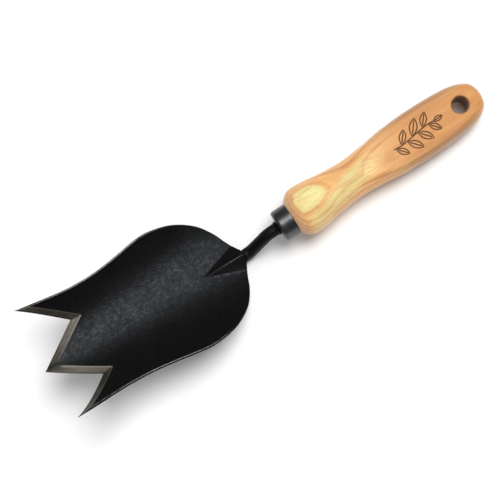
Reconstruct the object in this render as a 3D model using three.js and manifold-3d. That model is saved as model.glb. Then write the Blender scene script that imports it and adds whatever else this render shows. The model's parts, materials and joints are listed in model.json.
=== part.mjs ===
// Hand transplanter: a three-toothed pressed steel blade on a cranked forged shank, with its tang
// driven into a turned ash handle behind a steel ferrule. Millimetres, +Z up, +X towards the butt.
//
// Two working frames are used. The tool frame has the handle's axis as X, with x = 0 where the
// wood begins behind the ferrule. The blade frame lies along the keel: x = -s, where s runs from
// the point of the frog towards the teeth, y is across, and z is up out of the dish.

import * as THREE from 'three';
import { ConvexGeometry } from 'three/addons/geometries/ConvexGeometry.js';
import { TessellateModifier } from 'three/addons/modifiers/TessellateModifier.js';
import { mergeVertices } from 'three/addons/utils/BufferGeometryUtils.js';
import Module from 'manifold-3d';

// ---------------------------------------------------------------- driving dimensions

const GAP = 0.35; // clearance kept between touching pieces
const DEG = Math.PI / 180;

const blade = {
	thickness: 1.7,
	pitch: 13.2 * DEG, // keel line against the handle's axis
	frogPoint: new THREE.Vector3( - 68.7, 0, - 2.5 ), // in the tool frame
	rearS: - 26.6, // rear corners of the sheet
	tongueS: - 30.5, // short tongue of the sheet over the shank
	tongueHalf: 4,
	tipS: 116.8, // middle tooth
	outerTip: [ 114.7, 43.6 ], // outer tooth: s and half width round the arc
	notch: [ 86.9, 20.3 ],
	keelSag: 1.7,
	heelDrop: 2.0, // the sheet dips towards the shank behind the frog's point
	dishRadius: 86, // at s = 0, on the concave face
	dishTaper: 0.33, // radius lost per millimetre towards the teeth
	bevelWidth: 4.6, // ground bevels along the notches
	edgeLeft: 0.45, // thickness left at a ground edge
};

// The plain sheet that the blade is cut from, before it is rolled, and its grid of points.
const blank = { length: 170, width: 108, middleS: 45, lengthSteps: 28, widthSteps: 18 };

const frog = {
	height: 4,
	length: 27,
	halfWidth: 9.6,
	runOn: 12, // the roof goes on past the rear edge, so that it cuts cleanly
	sink: 0.6, // its depth in the sheet below its foot
};

const shank = {
	radius: 4.1,
	crank: 41 * DEG, // slope of the gooseneck
	upperBendX: - 19.2,
	bendRadius: 9,
	noseRadius: 1.1, // forged point under the frog
	noseS: - 5,
	taperS: - 25, // where the taper to the nose begins
	collarRadius: 4.8, // low shoulder against the ferrule
	collarLength: 1.4,
};

const tang = { rear: 92, halfFront: 3.3, halfRear: 1.6 };

const ferrule = { radius: 10.8, length: 10.7, wall: 1.3, floor: 1.8, corner: 1.8, hole: 5.2 };

const weld = { radius: 1.15, stations: [ - 26, - 20, - 14, - 8.5 ], clearance: 0.15 };

const handle = {
	length: 145.4,
	twist: 8 * DEG, // the flats lean a little from the blade's own level
	tenonRadius: 9.1,
	tenonLength: 8,
	flatZ: 10.2, // half thickness across the two flats
	flatFrontX: 80,
	runOutRadius: 150, // the flats sweep out of the wood towards the waist
	holeX: 128.4,
	holeRadius: 5.6,
	holeChamfer: 0.7,
};

// Turned outline of the handle: distance from the wood's front face, radius.
const handleProfile = [
	[ 0, 10.9 ], [ 2.2, 13.6 ], [ 5.2, 16 ], [ 9.2, 16.8 ], [ 17, 16.4 ], [ 28, 14.7 ], [ 38, 13.6 ],
	[ 48, 13.2 ], [ 63, 14.5 ], [ 78, 16.3 ], [ 97, 17.1 ], [ 114, 16.6 ], [ 127, 15.4 ], [ 136.6, 12.8 ],
	[ 142.6, 8.35 ], [ handle.length, 0 ],
];

// Side of the flat blank from the rear corner to the outer tooth: s, half width round the arc.
const bladeSide = [
	[ blade.rearS, 9.2 ], [ - 24.4, 15 ], [ - 20.2, 23.3 ], [ - 12.5, 32.6 ], [ 0, 40.4 ], [ 13, 44 ], [ 25, 44.5 ],
	[ 46, 40.8 ], [ 62, 38.8 ], [ 79, 38.7 ], [ 96, 40.6 ], blade.outerTip,
];

const materials = {
	paintedSteel: { color: 0x1c1d20, roughness: 0.45, metalness: 0.35 },
	forgedSteel: { color: 0x24252a, roughness: 0.5, metalness: 0.45 },
	weldSteel: { color: 0x202125, roughness: 0.6, metalness: 0.4 },
	ferruleSteel: { color: 0x4a4b4e, roughness: 0.4, metalness: 0.7 },
	ash: { color: 0xe6b478, roughness: 0.5, metalness: 0 },
};

// ---------------------------------------------------------------- solids

const wasm = await Module();
wasm.setup();

function merged( geometry ) {

	const bare = geometry.index ? geometry.toNonIndexed() : geometry.clone();
	for ( const name of Object.keys( bare.attributes ) ) {

		if ( name !== 'position' ) bare.deleteAttribute( name );

	}

	return mergeVertices( bare, 1e-4 );

}

function toSolid( geometry ) {

	const g = merged( geometry );
	return new wasm.Manifold( new wasm.Mesh( {
		numProp: 3,
		vertProperties: new Float32Array( g.attributes.position.array ),
		triVerts: new Uint32Array( g.index.array ),
	} ) );

}

function toGeometry( solid ) {

	const mesh = solid.getMesh();
	const g = new THREE.BufferGeometry();
	g.setAttribute( 'position', new THREE.BufferAttribute( new Float32Array( mesh.vertProperties ), 3 ) );
	g.setIndex( new THREE.BufferAttribute( new Uint32Array( mesh.triVerts ), 1 ) );
	return g;

}

function named( name, geometry, finish ) {

	const mesh = new THREE.Mesh( geometry, new THREE.MeshStandardMaterial( finish ) );
	mesh.name = name;
	return mesh;

}

// Turns a profile of [ distance along X, radius ] points about the X axis.
function turned( points, sides ) {

	const profile = points.map( ( [ x, r ] ) => new THREE.Vector2( r, x ) );
	return new THREE.LatheGeometry( profile, sides ).rotateZ( - Math.PI / 2 );

}

// A round hole through the handle, along Z, with a small countersink at each face.
function hangHole() {

	const { holeRadius: r, holeChamfer: c, flatZ: z } = handle;
	const past = 2; // the cutter stands this far out of each face
	const half = [
		[ 0, - z - past ], [ r + c + past, - z - past ], [ r, - z + c ],
		[ r, z - c ], [ r + c + past, z + past ], [ 0, z + past ],
	];
	const geometry = new THREE.LatheGeometry( half.map( ( [ x, y ] ) => new THREE.Vector2( x, y ) ), 32 );
	return geometry.rotateX( Math.PI / 2 ).translate( handle.holeX, 0, 0 );

}

// ---------------------------------------------------------------- blade

const keelHeight = ( s ) => {

	const along = ( s - blade.rearS ) / ( blade.tipS - blade.rearS );
	const heel = s < 0 ? blade.heelDrop * ( s / blade.rearS ) ** 2 : 0;
	return - blade.keelSag * Math.sin( Math.PI * THREE.MathUtils.clamp( along, 0, 1 ) ) - heel;

};

const dishRadiusAt = ( s ) => blade.dishRadius - blade.dishTaper * s;

// Height of the frog's ridge above the plain dish: it rises from its point to the rear.
function ridgeHeight( s ) {

	return frog.height * THREE.MathUtils.clamp( - s / frog.length, 0, 1 );

}

// The frog before the sheet is dished: a low pyramid with its point at s = 0, running on as a
// roof past the rear edge. The sheet is pressed up over it, so base is the level of its foot.
function frogForm( base ) {

	const { height: h, length: l, halfWidth: w, runOn, sink } = frog;
	const points = [ new THREE.Vector3( 0, 0, base ) ];
	for ( const x of [ l, l + runOn ] ) {

		points.push( new THREE.Vector3( x, - w, base ), new THREE.Vector3( x, w, base ) );
		points.push( new THREE.Vector3( x, 0, base + h ) );

	}

	points.push( new THREE.Vector3( 2, 0, base - sink ), new THREE.Vector3( l + runOn, 0, base - sink ) );
	return new ConvexGeometry( points );

}

function bladeOutline() {

	const shape = new THREE.Shape();
	const sideSteps = 33;
	const toothSteps = 5;
	const side = new THREE.SplineCurve( bladeSide.map( ( [ s, y ] ) => new THREE.Vector2( - s, y ) ) );
	const right = side.getPoints( sideSteps );
	const left = right.map( ( p ) => new THREE.Vector2( p.x, - p.y ) );
	const [ notchS, notchY ] = blade.notch;
	shape.moveTo( - blade.tongueS, blade.tongueHalf );
	right.forEach( ( p ) => shape.lineTo( p.x, p.y ) );
	const notch = [ 1, - 1 ].map( ( half ) => new THREE.Vector2( - notchS, half * notchY ) );
	const tip = new THREE.Vector2( - blade.tipS, 0 );
	const corners = [ right[ right.length - 1 ], notch[ 0 ], tip, notch[ 1 ], left[ left.length - 1 ] ];
	for ( let i = 1; i < corners.length; i ++ ) {

		const edge = new THREE.LineCurve( corners[ i - 1 ], corners[ i ] ).getPoints( toothSteps );
		edge.slice( 1 ).forEach( ( p ) => shape.lineTo( p.x, p.y ) );

	}

	left.reverse().slice( 1 ).forEach( ( p ) => shape.lineTo( p.x, p.y ) );
	shape.lineTo( - blade.tongueS, - blade.tongueHalf );
	return shape;

}

// The space above the two ground bevels of one notch: each side of the V moves into the sheet as
// it rises, so the cutter is the hull of a small V at the edge height and a wide one above.
function bevelCutter( side ) {

	const apex = new THREE.Vector2( - blade.notch[ 0 ], side * blade.notch[ 1 ] );
	const ends = [
		new THREE.Vector2( - blade.outerTip[ 0 ], side * blade.outerTip[ 1 ] ),
		new THREE.Vector2( - blade.tipS, 0 ),
	];
	const arms = ends.map( ( end ) => end.clone().sub( apex ) );
	const middle = arms[ 0 ].clone().normalize().add( arms[ 1 ].clone().normalize() ).normalize();
	const halfAngle = Math.abs( arms[ 0 ].angleTo( middle ) );
	const rise = ( blade.thickness - blade.edgeLeft ) / blade.bevelWidth;
	const above = 1; // the cutter stands this far over the sheet
	const beyond = 40; // and its arms this far past the teeth
	const points = [];
	for ( const z of [ blade.edgeLeft, blade.thickness + above ] ) {

		const inset = ( z - blade.edgeLeft ) / rise;
		const tip = apex.clone().addScaledVector( middle, - inset / Math.sin( halfAngle ) );
		points.push( new THREE.Vector3( tip.x, tip.y, z ) );
		for ( const arm of arms ) {

			const far = tip.clone().addScaledVector( arm.clone().normalize(), arm.length() + beyond );
			points.push( new THREE.Vector3( far.x, far.y, z ) );

		}

	}

	return new ConvexGeometry( points );

}

// The blank is cut, ground and pressed flat here, then rolled into the dish.
function rollBlade( geometry ) {

	const position = geometry.attributes.position;
	for ( let i = 0; i < position.count; i ++ ) {

		const s = - position.getX( i );
		const inner = dishRadiusAt( s );
		const radius = inner + blade.thickness - position.getZ( i );
		const angle = position.getY( i ) / inner;
		const y = radius * Math.sin( angle );
		const z = keelHeight( s ) + inner - radius * Math.cos( angle );
		position.setXYZ( i, - s, y, z );

	}

	return geometry;

}

// A form given on the flat blank, split finely enough to follow the dish.
function rolled( geometry, longestEdge ) {

	const passes = 12;
	const fine = new TessellateModifier( longestEdge, passes ).modify( geometry );
	return toSolid( rollBlade( merged( fine ) ) );

}

function makeBlade() {

	const t = blade.thickness;
	const { length, width, middleS, lengthSteps, widthSteps } = blank;
	const slab = new THREE.BoxGeometry( length, width, t, lengthSteps, widthSteps, 1 )
		.translate( - middleS, 0, t / 2 );
	const below = 2; // the outline's walls start this far under the sheet
	const depth = below + t + frog.height + 2;
	const trim = new THREE.ExtrudeGeometry( bladeOutline(), { depth, bevelEnabled: false, curveSegments: 1 } )
		.translate( 0, 0, - below );
	const fine = 8; // longest edges of the rolled forms
	const coarse = 12;
	const pressed = toSolid( rollBlade( merged( slab ) ) )
		.add( rolled( frogForm( t ), fine ) )
		.subtract( rolled( frogForm( 0 ), fine ) );
	const ground = pressed.intersect( rolled( trim, coarse ) )
		.subtract( rolled( bevelCutter( 1 ), fine ) )
		.subtract( rolled( bevelCutter( - 1 ), fine ) );
	return toGeometry( ground );

}

// ---------------------------------------------------------------- shank

// Places a point given along the keel into the tool frame.
function fromKeel( s, n ) {

	const c = Math.cos( blade.pitch );
	const d = Math.sin( blade.pitch );
	const { x, z } = blade.frogPoint;
	return new THREE.Vector3( x - s * c + n * d, 0, z + s * d + n * c );

}

// Depth of the shank's centre under the frog, where a round bar of this radius just clears it.
function underFrog( s, radius ) {

	const slope = Math.atan2( frog.height, frog.halfWidth );
	const roof = keelHeight( s ) + ridgeHeight( s ) - blade.thickness;
	return roof - ( radius + 2 * GAP ) / Math.cos( slope );

}

const noseEnd = fromKeel( shank.noseS, underFrog( shank.noseS, shank.noseRadius ) );
const noseStart = fromKeel( shank.taperS, underFrog( shank.taperS, shank.radius ) );

function shankPath() {

	const bendA = new THREE.Vector3( shank.upperBendX, 0, 0 );
	const slope = new THREE.Vector3( - Math.cos( shank.crank ), 0, - Math.sin( shank.crank ) );
	const nose = noseEnd.clone().sub( noseStart ).normalize();
	// Where the sloping part meets the line of the nose.
	const k = ( ( noseStart.x - bendA.x ) * nose.z - ( noseStart.z - bendA.z ) * nose.x )
		/ ( slope.x * nose.z - slope.z * nose.x );
	const bendB = bendA.clone().addScaledVector( slope, k );
	const reachA = shank.bendRadius * Math.tan( shank.crank / 2 );
	const reachB = shank.bendRadius * Math.tan( slope.angleTo( nose ) / 2 );
	const a0 = bendA.clone().add( new THREE.Vector3( reachA, 0, 0 ) );
	const a1 = bendA.clone().addScaledVector( slope, reachA );
	const b0 = bendB.clone().addScaledVector( slope, - reachB );
	const b1 = bendB.clone().addScaledVector( nose, reachB );
	const path = new THREE.CurvePath();
	path.add( new THREE.LineCurve3( new THREE.Vector3( - ferrule.length + ferrule.floor, 0, 0 ), a0 ) );
	path.add( new THREE.QuadraticBezierCurve3( a0, bendA, a1 ) );
	path.add( new THREE.LineCurve3( a1, b0 ) );
	path.add( new THREE.QuadraticBezierCurve3( b0, bendB, b1 ) );
	path.add( new THREE.LineCurve3( b1, noseEnd ) );
	return path;

}

function makeShank() {

	const section = new THREE.Shape();
	section.absarc( 0, 0, shank.radius, 0, 2 * Math.PI, false );
	const swept = { steps: 34, curveSegments: 8, extrudePath: shankPath() };
	const bar = new THREE.ExtrudeGeometry( section, swept );

	// The last stretch is drawn down to the nose about its straight centre line.
	const axis = noseEnd.clone().sub( noseStart );
	const position = bar.attributes.position;
	const point = new THREE.Vector3();
	for ( let i = 0; i < position.count; i ++ ) {

		point.fromBufferAttribute( position, i );
		const t = point.clone().sub( noseStart ).dot( axis ) / axis.lengthSq();
		if ( t <= 0 || point.x > noseStart.x + shank.radius ) continue;
		const centre = noseStart.clone().addScaledVector( axis, t );
		const keep = THREE.MathUtils.lerp( 1, shank.noseRadius / shank.radius, Math.min( t, 1 ) );
		point.sub( centre ).multiplyScalar( keep ).add( centre );
		position.setXYZ( i, point.x, point.y, point.z );

	}

	const front = - ferrule.length - GAP;
	const { collarRadius: c, collarLength: l, radius: r } = shank;
	const fade = 0.8; // the shoulder runs out over this length
	const round = 0.4;
	const collar = turned( [
		[ front - l - fade, 0 ], [ front - l - fade, r ], [ front - l, c - round ],
		[ front - round, c ], [ front, c ], [ front, 0 ],
	], 28 );
	const tangInWood = tangShape( 0 ).rotateX( handle.twist );
	return toGeometry( toSolid( bar ).add( toSolid( collar ) ).add( toSolid( tangInWood ) ) );

}

// The square, tapered tang; clearance grows it evenly to make its hole in the wood.
function tangShape( clearance ) {

	const overlap = 0.4; // it starts inside the bar
	const front = - ferrule.length + ferrule.floor - overlap;
	const rear = tang.rear + 2 * clearance;
	const half = [ tang.halfRear + clearance, tang.halfFront + clearance ].map( ( h ) => h * Math.SQRT2 );
	const geometry = new THREE.CylinderGeometry( half[ 1 ], half[ 0 ], rear - front, 4 );
	return geometry.rotateY( Math.PI / 4 ).rotateZ( Math.PI / 2 ).translate( ( front + rear ) / 2, 0, 0 );

}

// ---------------------------------------------------------------- welds, ferrule and handle

// Fillet weld along one side of the shank's point, in the corner under the frog's flank.
function makeWeld( side ) {

	const bead = weld.radius;
	const points = [];
	for ( const s of weld.stations ) {

		const t = THREE.MathUtils.clamp( ( s - shank.taperS ) / ( shank.noseS - shank.taperS ), 0, 1 );
		const bar = THREE.MathUtils.lerp( shank.radius, shank.noseRadius, t );
		const y = bar + bead + GAP + weld.clearance;
		const flank = Math.max( 0, ridgeHeight( s ) - y * frog.height / frog.halfWidth );
		const roof = keelHeight( s ) + flank + y * y / ( 2 * dishRadiusAt( s ) ) - blade.thickness;
		points.push( fromKeel( s, roof - bead * 1.15 - GAP ).setY( side * y ) );

	}

	const section = new THREE.Shape();
	section.absarc( 0, 0, bead, 0, 2 * Math.PI, false );
	const path = new THREE.CatmullRomCurve3( points );
	return new THREE.ExtrudeGeometry( section, { steps: 12, curveSegments: 5, extrudePath: path } );

}

function makeFerrule() {

	const { radius: r, length: l, wall: w, floor: f, corner: c, hole: h } = ferrule;
	const front = - l;
	const points = [ [ front, h ], [ front, r - c ] ];
	for ( let i = 1; i < 5; i ++ ) {

		const a = i / 4 * Math.PI / 2;
		points.push( [ front + c - c * Math.cos( a ), r - c + c * Math.sin( a ) ] );

	}

	points.push( [ - GAP, r ], [ - GAP, r - w ], [ front + f, r - w ], [ front + f, h ], [ front, h ] );
	return turned( points, 40 );

}

function flatsOutline() {

	const { flatZ: z, flatFrontX: x0, runOutRadius: r, length } = handle;
	const rise = 12; // the sweep is followed until it stands well clear of the wood
	const ends = { front: - 20, rear: length + 5 };
	const reach = Math.acos( 1 - rise / r );
	const front = x0 - r * Math.sin( reach );
	const shape = new THREE.Shape();
	shape.moveTo( ends.rear, z );
	shape.lineTo( x0, z );
	shape.absarc( x0, z + r, r, - Math.PI / 2, - Math.PI / 2 - reach, true );
	shape.lineTo( ends.front, z + rise );
	shape.lineTo( ends.front, - z - rise );
	shape.lineTo( front, - z - rise );
	shape.absarc( x0, - z - r, r, Math.PI / 2 + reach, Math.PI / 2, true );
	shape.lineTo( ends.rear, - z );
	return shape;

}

function makeHandle() {

	const { tenonLength, tenonRadius } = handle;
	const steps = 40;
	const width = 50; // of the slab between the flats, wider than the wood
	const curve = new THREE.SplineCurve( handleProfile.map( ( [ x, r ] ) => new THREE.Vector2( x, r ) ) );
	const outside = curve.getPoints( steps ).map( ( p ) => [ p.x, Math.max( 0, p.y ) ] );
	outside[ outside.length - 1 ][ 1 ] = 0;
	const profile = [ [ - tenonLength, 0 ], [ - tenonLength, tenonRadius ], [ 0, tenonRadius ], ...outside ];
	const slab = { depth: width, bevelEnabled: false, curveSegments: 14 };
	const flats = new THREE.ExtrudeGeometry( flatsOutline(), slab );
	flats.rotateX( Math.PI / 2 ).translate( 0, width / 2, 0 );
	const wood = toSolid( turned( profile, 40 ) )
		.intersect( toSolid( flats ) )
		.subtract( toSolid( hangHole() ) )
		.subtract( toSolid( tangShape( GAP ) ) );
	return toGeometry( wood );

}

// ---------------------------------------------------------------- assembly

const head = new THREE.Group();
head.position.copy( blade.frogPoint );
head.rotation.y = blade.pitch;
head.add( named( 'blade', makeBlade(), materials.paintedSteel ) );

const tool = new THREE.Group();
tool.add( head );
tool.add( named( 'shank', makeShank(), materials.forgedSteel ) );
tool.add( named( 'weld_left', makeWeld( 1 ), materials.weldSteel ) );
tool.add( named( 'weld_right', makeWeld( - 1 ), materials.weldSteel ) );
tool.add( named( 'ferrule', makeFerrule(), materials.ferruleSteel ) );

const wood = named( 'handle', makeHandle(), materials.ash );
wood.rotation.x = handle.twist;
tool.add( wood );

// The tool lies on the heel of the shank and the butt of the handle.
const LIE = 2.5 * DEG;
tool.rotation.y = LIE;
const transplanter = new THREE.Group();
transplanter.add( tool );
transplanter.updateMatrixWorld( true );
const box = new THREE.Box3().setFromObject( transplanter, true );
tool.position.set( - ( box.min.x + box.max.x ) / 2, 0, - box.min.z );

export default transplanter;
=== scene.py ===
"""Hand transplanter: the fine surfaces and finishes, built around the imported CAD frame.

Lengths in the builders are millimetres in the tool frame: X along the handle's axis towards the
butt, with x = 0 where the wood begins behind the ferrule, Y across and Z up out of the dish.
"""
import json
import math
from functools import partial, reduce

import bmesh
import bpy
import numpy as np
from mathutils import Matrix, Quaternion, Vector


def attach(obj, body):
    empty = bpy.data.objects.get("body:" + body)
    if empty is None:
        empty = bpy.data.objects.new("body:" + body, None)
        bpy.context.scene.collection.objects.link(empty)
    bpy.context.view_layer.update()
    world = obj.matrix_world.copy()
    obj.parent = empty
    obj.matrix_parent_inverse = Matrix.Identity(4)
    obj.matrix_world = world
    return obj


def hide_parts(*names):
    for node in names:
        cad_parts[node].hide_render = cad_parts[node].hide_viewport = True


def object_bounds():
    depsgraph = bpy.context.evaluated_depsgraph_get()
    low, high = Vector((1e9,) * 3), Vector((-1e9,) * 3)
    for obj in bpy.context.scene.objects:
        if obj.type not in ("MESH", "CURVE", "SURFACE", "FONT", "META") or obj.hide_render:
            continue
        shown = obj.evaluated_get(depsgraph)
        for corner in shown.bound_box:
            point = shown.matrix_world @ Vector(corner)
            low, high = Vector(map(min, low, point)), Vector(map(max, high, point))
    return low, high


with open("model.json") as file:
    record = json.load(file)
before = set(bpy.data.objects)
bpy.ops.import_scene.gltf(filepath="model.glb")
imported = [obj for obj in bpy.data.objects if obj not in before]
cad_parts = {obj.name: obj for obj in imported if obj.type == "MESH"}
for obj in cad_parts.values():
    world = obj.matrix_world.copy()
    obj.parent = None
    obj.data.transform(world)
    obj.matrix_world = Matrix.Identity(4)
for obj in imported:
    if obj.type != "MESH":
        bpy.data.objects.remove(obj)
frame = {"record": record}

cad_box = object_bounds()

# ------------------------------------------------------------------ place of the tool

# The handle's axis runs midway between its two hanging mounts, which lie on its flats at MOUNT_X.
MM = 0.001
MOUNT_X = 110.0
mounts = {m["name"]: m for m in frame["record"]["mounts"]}
upper, under = mounts["hang_flat_upper"], mounts["hang_flat_under"]
TILT = math.atan2(upper["axis"][0], upper["axis"][2])
ALONG = Vector((math.cos(TILT), 0, -math.sin(TILT)))
ORIGIN = (Vector(upper["pos_m"]) + Vector(under["pos_m"])) / 2 - ALONG * MOUNT_X * MM
TOOL = Matrix.Translation(ORIGIN) @ Matrix.Rotation(TILT, 4, "Y") @ Matrix.Scale(MM, 4)

# ------------------------------------------------------------------ dimensions, as in the CAD

GAP = 0.35  # clearance kept between touching pieces

# The flat blank has s forwards along its middle and a sideways; PITCH lifts its front.
THICK = 1.7
PITCH = math.radians(13.2)
FROG_POINT = np.array((-68.7, 0.0, -2.5))  # where s = 0
REAR_S, TONGUE_S, TONGUE_HALF, TIP_S = -26.6, -30.5, 4.0, 116.8
OUTER_TIP = (114.7, 43.6)
NOTCH = (86.9, 20.3)
KEEL_SAG, HEEL_DROP = 1.7, 2.0  # how far the middle line dips, and falls off behind the frog's point
DISH_RADIUS, DISH_TAPER = 86.0, 0.33  # at s = 0, and how much smaller per millimetre forwards
BEVEL_WIDTH, EDGE_LEFT = 4.6, 0.45
BLADE_SIDE = [(REAR_S, 9.2), (-24.4, 15), (-20.2, 23.3), (-12.5, 32.6), (0, 40.4), (13, 44), (25, 44.5),
              (46, 40.8), (62, 38.8), (79, 38.7), (96, 40.6), OUTER_TIP]
FROG_HEIGHT, FROG_LENGTH, FROG_HALF = 4.0, 27.0, 9.6  # the raised pyramid over the shank's point

BAR_RADIUS, CRANK, UPPER_BEND_X, BEND_RADIUS = 4.1, math.radians(41), -19.2, 9.0
NOSE_RADIUS, NOSE_S, TAPER_S = 1.1, -5.0, -25.0
COLLAR_RADIUS, COLLAR_LENGTH = 4.8, 1.4
TANG_REAR, TANG_FRONT_HALF, TANG_REAR_HALF = 92.0, 3.3, 1.6

WELD_RADIUS, WELD_CLEARANCE = 1.15, 0.15
WELD_STATIONS = (-26.0, -20.0, -14.0, -8.5)

FERRULE_RADIUS, FERRULE_LENGTH, FERRULE_WALL = 10.8, 10.7, 1.3
FERRULE_FLOOR, FERRULE_CORNER, FERRULE_HOLE = 1.8, 1.8, 5.2

TENON_RADIUS, TENON_LENGTH = 9.1, 8.0
TWIST = math.radians(8)  # the handle's flats lean this far towards the near side
FLAT_Z, FLAT_FRONT_X, RUN_OUT = 10.2, 80.0, 150.0
HOLE_X, HOLE_RADIUS, HOLE_CHAMFER = 128.4, 5.6, 0.7
HANDLE_PROFILE = [(0, 10.9), (2.2, 13.6), (5.2, 16), (9.2, 16.8), (17, 16.4), (28, 14.7), (38, 13.6),
                  (48, 13.2), (63, 14.5), (78, 16.3), (97, 17.1), (114, 16.6), (127, 15.4),
                  (136.6, 12.8), (142.6, 8.35), (145.4, 0)]

# ------------------------------------------------------------------ dimensions of the finishes

SPRIG_X, STEM_HALF = 93.0, 15.5  # middle and half length of the sprig burned into the upper flat
PITH = (5.0, 20.4)  # the tree's centre lies this far to the near side of the handle's axis and below it
FIRST_RING, YEAR = 35.85, 2.3  # radius of the growth ring round the pale oval, and the rings' spacing
EDGE_RUN = 35.0  # about the length of each of the four ground edges


# ------------------------------------------------------------------ mesh helpers

def spline(points, count):
    """Uniform Catmull-Rom through the points, as the CAD's SplineCurve, at count + 1 even steps."""
    p = np.array(points, float)
    last = len(p) - 1
    out = []
    for t in np.linspace(0, last, count + 1):
        i = min(int(t), last - 1)
        w = t - i
        p0, p1, p2, p3 = p[max(i - 1, 0)], p[i], p[i + 1], p[min(i + 2, last)]
        v0, v1 = (p2 - p0) / 2, (p3 - p1) / 2
        cubic = 2 * p1 - 2 * p2 + v0 + v1
        square = -3 * p1 + 3 * p2 - 2 * v0 - v1
        out.append(cubic * w ** 3 + square * w ** 2 + v0 * w + p1)
    return np.array(out)


def bezier(p0, p1, p2, count):
    t = np.linspace(0, 1, count)[:, None]
    return (1 - t) ** 2 * p0 + 2 * t * (1 - t) * p1 + t * t * p2


def resample(points, count):
    """The polyline again, with count + 1 points evenly along its length."""
    p = np.array(points, float)
    reach = np.concatenate([[0], np.cumsum(np.linalg.norm(np.diff(p, axis=0), axis=1))])
    want = np.linspace(0, reach[-1], count + 1)
    return np.stack([np.interp(want, reach, p[:, k]) for k in range(p.shape[1])], 1)


def tangents(path):
    """Unit direction of the path at each of its points."""
    step = np.gradient(path, axis=0)
    return step / np.linalg.norm(step, axis=1)[:, None]


def section_angles(sides):
    return np.linspace(0, 2 * math.pi, sides, endpoint=False)


def square_reach(half, angles):
    """How far the sides of a square of this half width are from its middle, at each angle."""
    return half / np.maximum(np.abs(np.cos(angles)), np.abs(np.sin(angles)))


def turned_ring(x, reach, angles):
    """Points round the handle's axis at x; reach is one radius, or one for each angle."""
    return np.stack([np.full(len(angles), x), reach * np.cos(angles), reach * np.sin(angles)], 1)


def rings_to_mesh(rings, closed_ends=True):
    """Quads between equal rings of points, with a fan on a centre point at each closed end."""
    n = len(rings[0])
    points = list(np.concatenate(rings))
    faces = []
    for i in range(len(rings) - 1):
        a, b = i * n, (i + 1) * n
        faces += [(a + j, a + (j + 1) % n, b + (j + 1) % n, b + j) for j in range(n)]
    for end in ((0, len(rings) - 1) if closed_ends else ()):
        centre = len(points)
        points.append(rings[end].mean(0))
        rim = [(end * n + j, end * n + (j + 1) % n) for j in range(n)]
        faces += [(centre, q, p) if end == 0 else (centre, p, q) for p, q in rim]
    return points, faces


def store(mesh, name, values):
    """Keeps one number or one vector for each point of the mesh, for the finish to read."""
    values = np.array(values, np.float32)
    kind, field = ("FLOAT", "value") if values.ndim == 1 else ("FLOAT_VECTOR", "vector")
    mesh.attributes.new(name, kind, "POINT").data.foreach_set(field, values.ravel())


def piece(name, points, faces, replaced, materials, own=None, sharp=None):
    """A closed smooth mesh from tool-frame millimetres. The finish reads own, or else the points."""
    mesh = bpy.data.meshes.new(name)
    corners = [tuple(int(i) for i in face) for face in faces]
    mesh.from_pydata([tuple(TOOL @ Vector(p)) for p in points], [], corners)
    for material in materials:
        mesh.materials.append(material)
    store(mesh, "own", points if own is None else own)
    mesh.shade_smooth()
    if sharp:
        mesh.set_sharp_from_angle(angle=math.radians(sharp))
    obj = bpy.data.objects.new(name, mesh)
    bpy.context.scene.collection.objects.link(obj)
    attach(obj, "root")
    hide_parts(replaced)
    return obj


# ------------------------------------------------------------------ node helper

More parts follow.
